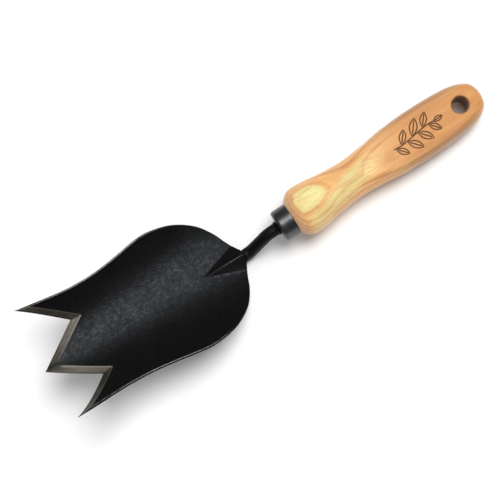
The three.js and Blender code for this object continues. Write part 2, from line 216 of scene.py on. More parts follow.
class Finish:
    """A material's node tree, built from short calls that return sockets."""

    def __init__(self, name):
        self.material = bpy.data.materials.new(name)
        self.material.use_nodes = True
        self.tree = self.material.node_tree
        self.tree.nodes.clear()
        self.shader = self.node("BsdfPrincipled")
        out = self.node("OutputMaterial")
        self.tree.links.new(self.shader.outputs[0], out.inputs["Surface"])
        self.own = self.stored("own", "Vector")

    def feed(self, socket, value):
        """Links the input to another node's socket, or sets it to a value."""
        if isinstance(value, bpy.types.NodeSocket):
            self.tree.links.new(value, socket)
        else:
            socket.default_value = value

    def feed_named(self, node, inputs):
        for name, value in inputs.items():
            self.feed(node.inputs[name.replace("_", " ")], value)

    def node(self, kind, *values, settings=None, **inputs):
        """A shader node; values go to its first inputs in order, and inputs go by name."""
        node = self.tree.nodes.new("ShaderNode" + kind)
        for key, value in (settings or {}).items():
            setattr(node, key, value)
        for socket, value in zip(node.inputs, values):
            self.feed(socket, value)
        self.feed_named(node, inputs)
        return node

    def stored(self, name, output="Fac"):
        """What the mesh keeps for each point under this name."""
        return self.node("Attribute", settings={"attribute_name": name}).outputs[output]

    def calc(self, operation, *values):
        return self.node("Math", *values, settings={"operation": operation}).outputs[0]

    def plus(self, *values):
        return reduce(partial(self.calc, "ADD"), values)

    def times(self, *values):
        return reduce(partial(self.calc, "MULTIPLY"), values)

    def minus(self, a, b):
        return self.calc("SUBTRACT", a, b)

    def larger(self, *values):
        return reduce(partial(self.calc, "MAXIMUM"), values)

    def smaller(self, a, b):
        return self.calc("MINIMUM", a, b)

    def absolute(self, a):
        return self.calc("ABSOLUTE", a)

    def split(self, vector):
        return self.node("SeparateXYZ", vector).outputs

    def join(self, x, y=0.0, z=0.0):
        return self.node("CombineXYZ", x, y, z).outputs[0]

    def noise(self, vector, scale, detail=2.0, rough=0.5):
        return self.node("TexNoise", Vector=vector, Scale=scale, Detail=detail, Roughness=rough).outputs[0]

    def stretched(self, scale):
        """The piece's own coordinates, scaled differently along X, Y and Z."""
        return self.node("VectorMath", self.own, scale, settings={"operation": "MULTIPLY"}).outputs[0]

    def remap(self, value, low, high, to_low=0.0, to_high=1.0):
        """A smooth step from to_low to to_high, while value goes from low to high."""
        node = self.node("MapRange", value, low, high, to_low, to_high)
        node.interpolation_type = "SMOOTHSTEP"
        return node.outputs[0]

    def ramp(self, value, stops):
        node = self.node("ValToRGB", value)
        elements = node.color_ramp.elements
        while len(elements) < len(stops):
            elements.new(0.5)
        for element, (position, colour) in zip(elements, stops):
            element.position = position
            element.color = (*colour, 1)
        return node.outputs[0]

    def mix(self, share, a, b):
        """Colour a, turned towards colour b by share."""
        node = self.node("Mix", share, settings={"data_type": "RGBA"})
        for index, colour in ((6, a), (7, b)):  # the node's two colour inputs
            linked = isinstance(colour, bpy.types.NodeSocket)
            self.feed(node.inputs[index], colour if linked else (*colour, 1))
        return node.outputs[2]

    def bump(self, height, strength, distance):
        return self.node("Bump", Height=height, Strength=strength, Distance=distance).outputs[0]

    def shade(self, **inputs):
        """Sets the shader's inputs and returns the finished material."""
        self.feed_named(self.shader, inputs)
        return self.material


# ------------------------------------------------------------------ finishes of the metal

def black_paint():
    """Near-black satin paint over rolled steel. Where the blade's stored mask says, it is light grey bare
    metal: paint worn at the arris, and a painted highlight along the arris and the frog's ridge.
    """
    f = Finish("black_paint")
    mottle = f.noise(f.own, 0.32, 3, 0.65)
    speck = f.noise(f.own, 0.95, 2, 0.75)
    patches = f.noise(f.own, 0.07, 3)
    flake = f.times(f.remap(speck, 0.39, 0.68), f.remap(mottle, 0.28, 0.64))
    body = f.ramp(mottle, [(0.3, (0.0034, 0.0034, 0.0028)), (0.7, (0.0058, 0.0058, 0.0056))])
    coat = f.mix(flake, body, (0.0135, 0.0143, 0.0165))
    chips = f.remap(f.noise(f.own, 0.4, 3, 0.6), 0.3, 0.5, 0.25, 1.0)
    # Painted highlight and worn paint: light grey metal on the arris and the frog's ridge.
    painted_highlight_and_worn = f.times(f.stored("wear_and_highlight"), chips)
    colour = f.mix(painted_highlight_and_worn, coat, (0.3, 0.3, 0.28))
    metal = f.larger(flake, f.times(painted_highlight_and_worn, 0.6))
    rough = f.plus(f.remap(mottle, 0.3, 0.7, 0.335, 0.275), f.remap(patches, 0.35, 0.65, -0.03, 0.035))
    height = f.plus(f.times(speck, 0.7), mottle)
    return f.shade(Base_Color=colour, Roughness=rough, Metallic=metal, Specular_IOR_Level=0.06,
                   Specular_Tint=(0.85, 0.9, 1.0, 1.0), Normal=f.bump(height, 0.5, 0.00014))


def ground_steel():
    """Bare steel of the ground bevels: grinding marks across the edge, a dark outer line and tip.

    'band' holds the millimetres along the teeth from the middle tip, and the share of the bevel's width.
    """
    f = Finish("ground_steel")
    _, y, _ = f.split(f.own)
    along, share, _ = f.split(f.stored("band", "Vector"))
    marks = f.noise(f.join(f.times(along, 3.2), f.times(share, 0.9)), 1.0, 3, 0.7)
    cloud = f.noise(f.own, 0.16, 3, 0.6)
    tone = f.plus(f.times(marks, 0.55), f.times(cloud, 0.45))
    colour = f.ramp(tone, [(0.32, (0.036, 0.031, 0.023)), (0.52, (0.068, 0.06, 0.046)),
                           (0.7, (0.115, 0.105, 0.084))])
    inner = f.remap(share, 0.26, 0.05)
    colour = f.mix(f.times(inner, 0.42), colour, (0.19, 0.19, 0.175))
    # Dark places: the very edge, the middle tip, and a wedge inside the near bevel beside it.
    edge, tip = f.remap(share, 0.74, 0.97), f.remap(along, 5.0, 1.6)
    near = f.times(f.remap(y, 0.2, -0.4), f.remap(along, 22.0, 6.0))
    wedge = f.times(near, f.remap(f.absolute(f.minus(share, 0.55)), 0.3, 0.1))
    dark = f.larger(edge, tip, f.times(wedge, 0.7))
    colour = f.mix(f.times(dark, 0.85), colour, (0.014, 0.013, 0.011))
    return f.shade(Base_Color=colour, Roughness=f.remap(marks, 0.3, 0.7, 0.52, 0.38), Metallic=0.7,
                   Normal=f.bump(marks, 0.35, 0.00014))


def forged_black(name, scale=1.0):
    """Painted forging: soft hammer waves under a satin black coat."""
    f = Finish(name)
    waves = f.noise(f.own, 0.22 * scale, 3, 0.55)
    grit = f.noise(f.own, 1.6 * scale, 3, 0.65)
    colour = f.ramp(grit, [(0.3, (0.0028, 0.0028, 0.0025)), (0.72, (0.0075, 0.0075, 0.0068))])
    height = f.plus(waves, f.times(grit, 0.25))
    return f.shade(Base_Color=colour, Roughness=f.remap(grit, 0.3, 0.7, 0.5, 0.36),
                   Specular_IOR_Level=0.11, Normal=f.bump(height, 0.5, 0.0003))


def ferrule_steel():
    """Blued satin steel, drawn lengthwise, with faint rings from turning."""
    f = Finish("ferrule_steel")
    x, _, _ = f.split(f.own)
    turning = f.noise(f.join(f.times(x, 6.0)), 1.0, 2, 0.6)
    drawn = f.noise(f.stretched((0.05, 1.0, 1.0)), 1.6, 3, 0.6)
    cloud = f.noise(f.own, 0.12, 2)
    tone = f.plus(f.times(drawn, 0.4), f.times(cloud, 0.6))
    colour = f.ramp(tone, [(0.3, (0.06, 0.062, 0.064)), (0.7, (0.126, 0.132, 0.135))])
    rough = f.remap(f.plus(turning, f.times(drawn, 0.6)), 0.55, 1.05, 0.37, 0.26)
    height = f.plus(f.times(turning, 0.35), f.times(drawn, 0.4))
    return f.shade(Base_Color=colour, Roughness=rough, Metallic=0.85, Normal=f.bump(height, 0.22, 0.0001))


# ------------------------------------------------------------------ finish of the wood

def leaf_line(f, x, y, centre, turn, length, width):
    """How far a point is from the outline or the rib of a pointed leaf, in millimetres."""
    cosine, sine = math.cos(turn), math.sin(turn)
    dx, dy = f.minus(x, centre[0]), f.minus(y, centre[1])
    along = f.plus(f.times(dx, cosine), f.times(dy, sine))
    across = f.absolute(f.minus(f.times(dy, cosine), f.times(dx, sine)))
    share = f.calc("DIVIDE", along, length)
    half_width = f.times(f.minus(1.0, f.times(share, share)), width)
    past_tip = f.larger(f.minus(f.absolute(along), length), 0.0)
    past_rib = f.larger(f.minus(f.absolute(along), length * 0.7), 0.0)
    outline = f.plus(f.absolute(f.minus(across, half_width)), f.times(past_tip, 3.0))
    return f.smaller(outline, f.plus(across, past_rib))


def burned_sprig(f):
    """Share of burned line at each point of the upper flat: a bare sprig of leaves, with no frame."""
    x, y, z = f.split(f.own)
    x = f.minus(x, SPRIG_X)
    wave, bend = 1.1, 0.15  # the stem's sideways swing in millimetres, and its radians per millimetre
    stem_y = f.minus(y, f.times(f.calc("SINE", f.times(x, bend)), wave))
    past_end = f.larger(f.minus(f.absolute(x), STEM_HALF), 0.0)
    line = f.plus(f.absolute(stem_y), past_end)
    lean, leaves, spacing, shift = math.radians(50), 7, 4.3, -1.6
    for i in range(leaves):
        from_middle = i - leaves // 2
        place = spacing * from_middle + shift
        side = 1 if i % 2 else -1
        size = 1.85 - 0.14 * abs(from_middle)
        out = 3.5 * size
        leaf_y = wave * math.sin(bend * place) + side * out * math.sin(lean)
        centre = (place + out * math.cos(lean), leaf_y)
        line = f.smaller(line, leaf_line(f, x, y, centre, side * lean, 3.1 * size, 1.3 * size))
    end_leaf = (STEM_HALF + 3.2, wave * math.sin(bend * STEM_HALF))
    line = f.smaller(line, leaf_line(f, x, y, end_leaf, 0.05, 3.4, 1.5))
    uneven = f.times(f.noise(f.own, 0.9, 2), 0.2)
    burned = f.remap(f.plus(line, uneven), 0.66, 0.42)
    return f.times(burned, f.remap(z, 8.6, 9.4))


def growth_ring(f, x, y, z):
    """Each point's distance from the tree's centre, which sways and ripples along the grain."""
    sway = f.times(f.minus(f.noise(f.stretched((0.012, 0.05, 0.05)), 1.0, 2), 0.5), 2.2)
    ripple = f.times(f.minus(f.noise(f.stretched((0.05, 0.3, 0.3)), 1.0, 2), 0.5), 0.7)
    side, depth = f.plus(y, PITH[0]), f.plus(z, PITH[1])
    ring = f.calc("SQRT", f.plus(f.times(side, side), f.times(depth, depth)))
    return f.plus(ring, f.plus(sway, ripple), f.remap(x, 3, 32, -0.65, 0.4))


def ash_wood():
    """Flat-sawn ash: growth layers that the turned surface cuts into an oval and long lines."""
    f = Finish("ash_wood")
    x, y, z = f.split(f.own)
    ring = growth_ring(f, x, y, z)
    year = f.calc("DIVIDE", f.minus(ring, FIRST_RING), YEAR)
    part = f.calc("FRACT", year)
    year_tone = f.noise(f.join(f.calc("FLOOR", year)), 1.7, 0)

    # The early wood is pale in the oval and along the waist, where the pale band drifts sideways.
    aside = f.absolute(f.minus(y, f.plus(f.times(x, 0.22), -12.0)))
    waist = f.times(f.remap(aside, 9.5, 3.5), f.remap(x, 78, 46), f.remap(x, 3, 13), f.remap(z, -6, 2))
    oval = f.remap(ring, FIRST_RING - 0.9, FIRST_RING + 0.6)
    pale = f.larger(oval, f.times(waist, 0.8))
    early = f.mix(pale, (0.86, 0.475, 0.185), (0.77, 0.765, 0.35))
    cloud = f.remap(f.noise(f.stretched((0.07, 0.2, 0.2)), 1.0, 2), 0.45, 0.62)
    early = f.mix(f.times(pale, cloud, 0.4), early, (0.78, 0.52, 0.2))
    early = f.mix(f.remap(year_tone, 0.3, 0.7, 0.0, 0.25), early, (0.94, 0.6, 0.27))
    late = f.mix(pale, (0.62, 0.27, 0.09), (0.72, 0.38, 0.15))

    # The late wood makes the lines: quieter inside the oval, at the waist and towards the butt.
    tones = ((0.0, 1.0), (0.07, 1.0), (0.24, 0.25), (0.5, 0.0), (0.86, 0.12), (1.0, 1.0))
    line = f.ramp(part, [(position, (tone, tone, tone)) for position, tone in tones])
    inside_oval = f.remap(ring, FIRST_RING + 1.2, FIRST_RING + 0.6, 0.15, 1.0)
    quiet = f.times(f.remap(waist, 0.0, 1.0, 1.0, 0.5), f.remap(x, 62, 80, 1.0, 0.45))
    colour = f.mix(f.times(line, inside_oval, quiet), early, late)
    rim = f.remap(f.absolute(f.minus(ring, FIRST_RING - 0.3)), 0.85, 0.35)
    colour = f.mix(f.times(rim, 0.6), colour, (0.8, 0.42, 0.15))

    # Redder towards the butt, painted shade on its rear flanks, and dull beside the ferrule.
    rear, flank = f.remap(x, 58, 100), f.remap(f.absolute(y), 8, 15)
    colour = f.mix(f.times(rear, 0.9), colour, (0.56, 0.245, 0.07))
    # Painted shade: the rear flanks darkened where the round turns away from the light.
    colour = f.mix(f.times(flank, rear, 0.85), colour, (0.38, 0.185, 0.08))
    colour = f.mix(f.remap(x, 7.0, 1.0, 0.0, 0.5), colour, (0.7, 0.46, 0.27))

    # Streaks, fibres and open pores along the grain, and a little dirt from the hand.
    streak = f.noise(f.stretched((0.014, 0.42, 0.42)), 1.0, 3, 0.6)
    colour = f.mix(f.remap(streak, 0.52, 0.68, 0.0, 0.4), colour, (0.5, 0.2, 0.06))
    colour = f.mix(f.remap(streak, 0.48, 0.32, 0.0, 0.25), colour, (0.8, 0.46, 0.15))
    fibre = f.noise(f.stretched((0.035, 1.6, 1.6)), 1.4, 3, 0.6)
    colour = f.mix(f.remap(fibre, 0.38, 0.7, 0.0, 0.3), colour, (0.5, 0.22, 0.08))
    pores = f.noise(f.stretched((0.12, 3.2, 3.2)), 1.0, 2, 0.6)
    open_pore = f.times(f.remap(pores, 0.56, 0.68), f.remap(part, 0.4, 0.02, 0.25, 1.0))
    colour = f.mix(f.times(open_pore, 0.5), colour, (0.34, 0.14, 0.05))
    handled = f.remap(f.noise(f.own, 0.045, 3), 0.42, 0.7, 0.0, 0.25)
    colour = f.mix(handled, colour, (0.5, 0.26, 0.11))

    # The burned sprig, and the wall of the hanging hole, where 'bore' is 1, painted dark brown as shade
    # inside the hole.
    burned, bore = burned_sprig(f), f.stored("bore")
    colour = f.mix(f.times(burned, 0.93), colour, (0.07, 0.026, 0.014))
    colour = f.mix(f.times(bore, 0.85), colour, (0.21, 0.085, 0.03))
    rough = f.plus(f.remap(fibre, 0.3, 0.7, 0.42, 0.52), f.times(f.plus(burned, bore), 0.25))
    hollows = f.plus(f.times(open_pore, 0.5), f.times(burned, 1.5))
    height = f.minus(f.times(fibre, 0.3), hollows)
    return f.shade(Base_Color=colour, Roughness=rough, Specular_IOR_Level=0.16, Coat_Weight=0.04,
                   Coat_Roughness=0.35, Sheen_Weight=0.55, Sheen_Roughness=0.42,
                   Sheen_Tint=(1.0, 0.96, 0.9, 1.0), Normal=f.bump(height, 0.4, 0.00015))


# ------------------------------------------------------------------ blade

# Steps of the blade's surface: rows from the rear to where the grinding starts, rows across the
# bevels, and columns from side to side.
ROWS, BAND_ROWS, COLUMNS = 200, 8, 160
ALL_ROWS = ROWS + BAND_ROWS
SIDE_ROUND, EDGE_ROUND = 0.42, 0.1  # width of the rounding at the sheet's rim and on the ground edge
MIRROR = np.array((1, -1))


def keel_height(s):
    along = np.clip((s - REAR_S) / (TIP_S - REAR_S), 0, 1)
    return -KEEL_SAG * np.sin(np.pi * along) - np.where(s < 0, HEEL_DROP * (s / REAR_S) ** 2, 0)


def dish_radius(s):
    return DISH_RADIUS - DISH_TAPER * s


def ridge_height(s):
    return FROG_HEIGHT * np.clip(-s / FROG_LENGTH, 0, 1)


def frog_height(s, a):
    """The pressed pyramid over the shank's point, with a rounded ridge and a soft foot."""
    ridge, foot = 0.45, 0.22
    fall = FROG_HEIGHT / FROG_HALF * (np.sqrt(a * a + ridge * ridge) - ridge * 0.6)
    flank = ridge_height(s) - fall
    return 0.5 * (flank + np.sqrt(flank * flank + foot * foot)) * np.clip((4 - s) / 6, 0, 1)


def from_keel(s, across, up):
    """The tool-frame point at s along the pitched blade, across from its middle and up from it."""
    cosine, sine = math.cos(PITCH), math.sin(PITCH)
    x = FROG_POINT[0] - s * cosine + up * sine
    z = FROG_POINT[2] + s * sine + up * cosine
    return np.stack([x, across, z], -1)


def rolled(s, a, height):
    """A point of the flat blank, height above its lower face, on the dished blade in the tool frame."""
    inner = dish_radius(s)
    radius = inner + THICK - (height + frog_height(s, a))
    angle = a / inner
    return from_keel(s, radius * np.sin(angle), keel_height(s) + inner - radius * np.cos(angle))


def inset_loop(loop, amounts):
    """The closed outline moved inwards: amounts[i] is for the edge from point i to i + 1."""
    edge = np.roll(loop, -1, 0) - loop
    edge /= np.linalg.norm(edge, axis=1)[:, None]
    normal = np.stack([edge[:, 1], -edge[:, 0]], 1)
    area = 0.5 * np.sum(loop[:, 0] * np.roll(loop[:, 1], -1) - np.roll(loop[:, 0], -1) * loop[:, 1])
    normal *= np.sign(area)
    out = np.empty_like(loop)
    for i in range(len(loop)):
        n1, n2 = normal[i - 1], normal[i]
        r1, r2 = amounts[i - 1], amounts[i]
        det = n1[0] * n2[1] - n1[1] * n2[0]
        if abs(det) < 0.05:  # the two edges are nearly in line
            out[i] = loop[i] - (n1 + n2) / np.linalg.norm(n1 + n2) * (r1 + r2) / 2
        else:
            out[i] = loop[i] - np.array((r1 * n2[1] - r2 * n1[1], n1[0] * r2 - n2[0] * r1)) / det
    return out


def blade_chains():
    """The flat blank's rear edge, right side and toothed front, and the line where the grinding starts.

    The right side runs forwards, and the other three run from the left to the right.
    """
    tip, apex, outer = np.array((TIP_S, 0.0)), np.array(NOTCH), np.array(OUTER_TIP)
    side = spline(BLADE_SIDE, 1200)

    # Where the inner line of the outer bevel reaches the side, and that line's other corners.
    cut = (outer - apex) / np.linalg.norm(outer - apex)
    away = np.abs((side - apex) @ np.array((-cut[1], cut[0])))
    start = max(i for i in range(len(side)) if away[i] >= BEVEL_WIDTH)
    arm = (tip - apex) / np.linalg.norm(tip - apex)
    middle = (cut + arm) / np.linalg.norm(cut + arm)
    inner_apex = apex - middle * BEVEL_WIDTH / math.sin(math.acos(float(cut @ middle)))
    inner_tip = tip - np.array((BEVEL_WIDTH / abs(arm[1]), 0))

    def bent(first, corner, last):
        quarter = COLUMNS // 4
        return np.concatenate([resample([first, corner], quarter), resample([corner, last], quarter)[1:]])

    def both(chain):
        return np.concatenate([chain[:0:-1] * MIRROR, chain])

    flank, tooth = resample(side[: start + 1], ROWS), resample(side[start:], BAND_ROWS)
    rear = resample([(TONGUE_S, 0), (TONGUE_S, TONGUE_HALF), BLADE_SIDE[0]], COLUMNS // 2)
    right = np.concatenate([flank, tooth[1:]])
    return both(rear), right, both(bent(tip, apex, outer)), both(bent(inner_tip, inner_apex, flank[-1]))


def blade_grid(rim, line):
    """Rows of points inside the closed rim: an even patch up to the line, then straight to the teeth."""
    rear = rim[: COLUMNS + 1]
    right = rim[COLUMNS: COLUMNS + ALL_ROWS + 1]
    front = rim[COLUMNS + ALL_ROWS: 2 * COLUMNS + ALL_ROWS + 1][::-1]
    left = np.concatenate([rim[2 * COLUMNS + ALL_ROWS:], rim[:1]])[::-1]
    line[0], line[-1] = left[ROWS], right[ROWS]
    grid = np.empty((ALL_ROWS + 1, COLUMNS + 1, 2))
    v = np.linspace(0, 1, COLUMNS + 1)[:, None]
    for i in range(ROWS + 1):
        u = i / ROWS
        corners = (1 - u) * ((1 - v) * rear[0] + v * rear[-1]) + u * ((1 - v) * line[0] + v * line[-1])
        grid[i] = (1 - v) * left[i] + v * right[i] + (1 - u) * rear + u * line - corners
    for i in range(ROWS + 1, ALL_ROWS + 1):
        u = (i - ROWS) / BAND_ROWS
        grid[i] = (1 - u) * line + u * front
        grid[i, 0], grid[i, -1] = left[i], right[i]
    return grid


def make_blade(paint, steel):
    rear, right, front, line = blade_chains()
    # The outline in order: along the rear, up the right side, back along the teeth, down the left.
    loop = np.concatenate([rear, right[1:], front[-2::-1], (right * MIRROR)[-2:0:-1]])
    teeth = COLUMNS + ALL_ROWS
    amounts = np.full(len(loop), SIDE_ROUND)
    amounts[teeth: teeth + COLUMNS] = EDGE_ROUND
    inner = inset_loop(loop, amounts)
    grid = blade_grid(inner, line)

    share = np.zeros(ALL_ROWS + 1)  # how far across the bevel each row is
    share[ROWS:] = np.linspace(0, 1, BAND_ROWS + 1)
    height = np.repeat((THICK - (THICK - EDGE_LEFT) * share)[:, None], COLUMNS + 1, 1)
    s, a = grid[..., 0], grid[..., 1]
    count = s.size
    index = np.arange(count).reshape(s.shape)
    points = [rolled(s, a, height).reshape(-1, 3), rolled(s, a, 0.0).reshape(-1, 3)]
    faces, ground = [], []
    for i in range(ALL_ROWS):
        for j in range(COLUMNS):
            quad = (index[i, j], index[i, j + 1], index[i + 1, j + 1], index[i + 1, j])
            faces += [quad, tuple(count + k for k in quad[::-1])]
            ground += [i >= ROWS, False]

    # The rounded rim: rings of points round the outline, from the upper to the lower face. On the way
    # to the teeth its upper arris is light grey: paint worn off there, and also a painted highlight.
    around = np.concatenate([index[0], index[1:, -1], index[-1, -2::-1], index[-2:0:-1, 0]])
    top = height.reshape(-1)[around]
    on_edge = np.zeros(len(loop), bool)
    on_edge[teeth: teeth + COLUMNS + 1] = True
    edge_rise, rim_share = 0.08, 0.42  # height of the rounding: on the ground edge, and of the sheet's rim
    rise = np.where(on_edge, edge_rise, np.minimum(SIDE_ROUND, rim_share * top))
    wear_and_highlight_from, wear_and_highlight_run = 2, 26
    forward = np.clip((loop[:, 0] - wear_and_highlight_from) / wear_and_highlight_run, 0, 1)
    steps = [math.radians(d) for d in (30, 60, 90)]
    rings, wear_and_highlight = [around], [np.zeros(2 * count)]
    for upper_half in (True, False):
        for step in (steps if upper_half else steps[::-1]):
            out = inner + (loop - inner) * math.sin(step)
            drop = rise * (1 - math.cos(step))
            rings.append(sum(len(p) for p in points) + np.arange(len(loop)))
            points.append(rolled(out[:, 0], out[:, 1], top - drop if upper_half else drop))
            beside_face = upper_half and step == steps[0]
            side_wear_and_highlight = 0.6 * forward if beside_face else 0.0
            wear_and_highlight.append(np.where(on_edge, 0.5 if upper_half else 0.1, side_wear_and_highlight))
    rings.append(around + count)
    for above, below in zip(rings, rings[1:]):
        for i in range(len(loop)):
            j = (i + 1) % len(loop)
            faces.append((above[j], above[i], below[i], below[j]))
    ground += [False] * (len(faces) - len(ground))

    # Worn paint and painted highlight on the upper face along its rim, and a painted highlight line on the
    # frog's ridge towards the shank.
    wear_and_highlight = np.concatenate(wear_and_highlight)
    wear_and_highlight[around] = 0.7 * forward
    ridge_width, ridge_start, ridge_reach = 0.3, 9.0, 14.0
    # Painted highlight: a thin light line along the frog's ridge.
    painted_highlight_and_worn = np.exp(-(a / ridge_width) ** 2) * np.clip((-s - ridge_start) / ridge_reach, 0, 1)
    wear_and_highlight[:count] = np.maximum(wear_and_highlight[:count], 0.13 * painted_highlight_and_worn.reshape(-1))

    points = np.concatenate(points)
    mesh = piece("blade_sheet", points, faces, "blade", [paint, steel]).data
    mesh.polygons.foreach_set("material_index", np.array(ground, np.int32))
    store(mesh, "wear_and_highlight", wear_and_highlight)
    band = np.zeros((len(points), 3))
    along = np.abs(np.arange(COLUMNS + 1) - COLUMNS // 2) * (4 * EDGE_RUN / COLUMNS)
    band[:count, 0] = np.tile(along, ALL_ROWS + 1)
    band[:count, 1] = np.repeat(share, COLUMNS + 1)
    store(mesh, "band", band)

    # Crisp lines where the grinding starts and at the point of the middle tooth.
    crisp = set()
    for chain in (index[ROWS].tolist(), index[ROWS:, COLUMNS // 2].tolist()):
        crisp.update(frozenset(pair) for pair in zip(chain, chain[1:]))
    for edge in mesh.edges:
        if frozenset(edge.vertices) in crisp:
            edge.use_edge_sharp = True


# ------------------------------------------------------------------ shank and welds

def bar_radius(share):
    """The bar's radius on its way to the nose: share is 0 where the taper starts and 1 at the nose."""
    return BAR_RADIUS + (NOSE_RADIUS - BAR_RADIUS) * min(1.0, max(0.0, share))


def under_frog(s, radius):
    """Height of a bar's centre, under the frog's ridge and clear of its flanks."""
    slope = math.atan2(FROG_HEIGHT, FROG_HALF)
    return keel_height(s) + ridge_height(s) - THICK - (radius + 2 * GAP) / math.cos(slope)


NOSE_END = from_keel(NOSE_S, 0.0, under_frog(NOSE_S, NOSE_RADIUS))
NOSE_START = from_keel(TAPER_S, 0.0, under_frog(TAPER_S, BAR_RADIUS))


def shank_path():
    """Centre line of the bar from the ferrule down the gooseneck to the nose."""
    bend_a = np.array((UPPER_BEND_X, 0.0, 0.0))
    slope = np.array((-math.cos(CRANK), 0.0, -math.sin(CRANK)))
    nose = (NOSE_END - NOSE_START) / np.linalg.norm(NOSE_END - NOSE_START)
    off = NOSE_START - bend_a
    k = (off[0] * nose[2] - off[2] * nose[0]) / (slope[0] * nose[2] - slope[2] * nose[0])
    bend_b = bend_a + slope * k
    reach_a = BEND_RADIUS * math.tan(CRANK / 2)
    reach_b = BEND_RADIUS * math.tan(math.acos(float(slope @ nose)) / 2)
    upper_bend = bezier(bend_a + np.array((reach_a, 0, 0)), bend_a, bend_a + slope * reach_a, 40)
    lower_bend = bezier(bend_b - slope * reach_b, bend_b, bend_b + nose * reach_b, 40)
    front = np.array((-FERRULE_LENGTH + FERRULE_FLOOR, 0.0, 0.0))
    return resample(np.concatenate([[front], upper_bend, lower_bend, [NOSE_END]]), 190)


def twisted(points):
    """Points of the handle, made with level flats, turned about its axis to their real lean."""
    cosine, sine = math.cos(TWIST), math.sin(TWIST)
    x, y, z = np.array(points, float).T
    return np.stack([x, y * cosine - z * sine, y * sine + z * cosine], 1)


def make_shank(finish):
    angles = section_angles(64)

    def section(centre, direction, reach):
        """Points at this reach round the centre, across a direction that lies in the XZ plane."""
        across = np.array((0.0, 1.0, 0.0))
        up = np.cross(direction, across)
        return centre + (reach * np.cos(angles))[:, None] * across + (reach * np.sin(angles))[:, None] * up

    # The square tang, with its corners taken off, from its end in the wood into the ferrule.
    rings = []
    forwards = np.array((-1.0, 0.0, 0.0))
    corner, tang_front = 1.32, -6.0  # reach of a corner in half widths, and where the square ends
    for x in np.linspace(TANG_REAR, tang_front, 50):
        share = (TANG_REAR - x) / (TANG_REAR + FERRULE_LENGTH)
        half = TANG_REAR_HALF + (TANG_FRONT_HALF - TANG_REAR_HALF) * share
        reach = np.minimum(square_reach(half, angles), corner * half)
        rings.append(twisted(section(np.array((x, 0.0, 0.0)), forwards, reach)))

    # The shoulder: a short round through the ferrule's floor, and the collar in front of it.
    front = -FERRULE_LENGTH - GAP
    end, top = front - COLLAR_LENGTH, COLLAR_RADIUS
    shoulder = [(front + 2.2, BAR_RADIUS), (front, BAR_RADIUS + 0.2), (front, top - 0.3),
                (front - 0.12, top - 0.08), (front - 0.35, top), (front - 0.7, top - 0.06),
                (front - 1.0, top - 0.2), (end, top - 0.42), (end - 0.4, BAR_RADIUS + 0.12),
                (end - 1.2, BAR_RADIUS + 0.02)]
    for x, radius in shoulder:
        rings.append(section(np.array((x, 0.0, 0.0)), forwards, radius))

    # The bar. Behind the sheet's rear edge its top is drawn up to the roof of the frog.
    path = shank_path()
    directions = tangents(path)
    taper = NOSE_END - NOSE_START
    tongue = from_keel(TONGUE_S, 0.0, keel_height(TONGUE_S) + FROG_HEIGHT)
    sheet_end, sheet_top, fade = tongue[0] + 0.08, tongue[2], 7.0
    for centre, direction in zip(path, directions):
        if centre[0] > end - 1.6:
            continue
        radius = bar_radius((centre - NOSE_START) @ taper / (taper @ taper))
        ring = section(centre, direction, radius)
        behind = ring[:, 0] - sheet_end
        share = 0.5 * (1 + np.cos(np.pi * np.clip(behind / fade, 0, 1))) * (behind > 0)
        share *= np.clip(-1.6 * np.sin(angles), 0, 1)
        roof = sheet_top - FROG_HEIGHT / FROG_HALF * np.sqrt(ring[:, 1] ** 2 + 0.3) + 0.1 * behind
        ring[:, 2] += share * np.maximum(roof - ring[:, 2], 0)
        rings.append(ring)

    # The rounded end of the nose.
    for turn in np.radians((35, 65, 85)):
        centre = path[-1] + directions[-1] * NOSE_RADIUS * math.sin(turn)
        rings.append(section(centre, directions[-1], NOSE_RADIUS * math.cos(turn)))
    points, faces = rings_to_mesh(rings)
    piece("shank_forging", points, faces, "shank", [finish], sharp=50)


def make_weld(side, node, finish):
    """A rippled fillet bead in the corner between the shank's point and the frog's flank."""
    corners = []
    for s in WELD_STATIONS:
        y = bar_radius((s - TAPER_S) / (NOSE_S - TAPER_S)) + WELD_RADIUS + GAP + WELD_CLEARANCE
        flank = max(0.0, ridge_height(s) - y * FROG_HEIGHT / FROG_HALF)
        roof = keel_height(s) + flank + y * y / (2 * dish_radius(s)) - THICK
        corners.append(from_keel(s, side * y, roof - WELD_RADIUS * 1.15 - GAP))
    steps = 120
    path = resample(spline(corners, 200), steps)
    angles = section_angles(28)
    rings = []
    for i, (centre, direction) in enumerate(zip(path, tangents(path))):
        across = np.cross(direction, np.array((0.0, 0.0, 1.0)))
        across /= np.linalg.norm(across)
        up = np.cross(across, direction)
        share = i / steps
        taper = math.sqrt(max(0.02, 1 - max(0.0, abs(2 * share - 1) * 1.08 - 0.08) ** 8))
        ripple = 0.09 * abs(math.sin(share * 15 * math.pi)) + 0.05 * math.sin(share * 23 + side)
        radius = (WELD_RADIUS - 0.1 + ripple) * taper
        sideways = np.cos(angles)[:, None] * across * 1.05
        rings.append(centre + radius * (sideways + np.sin(angles)[:, None] * up * 0.92))
    points, faces = rings_to_mesh(rings[::-1])
    piece(node + "_bead", points, faces, node, [finish])


# ------------------------------------------------------------------ ferrule

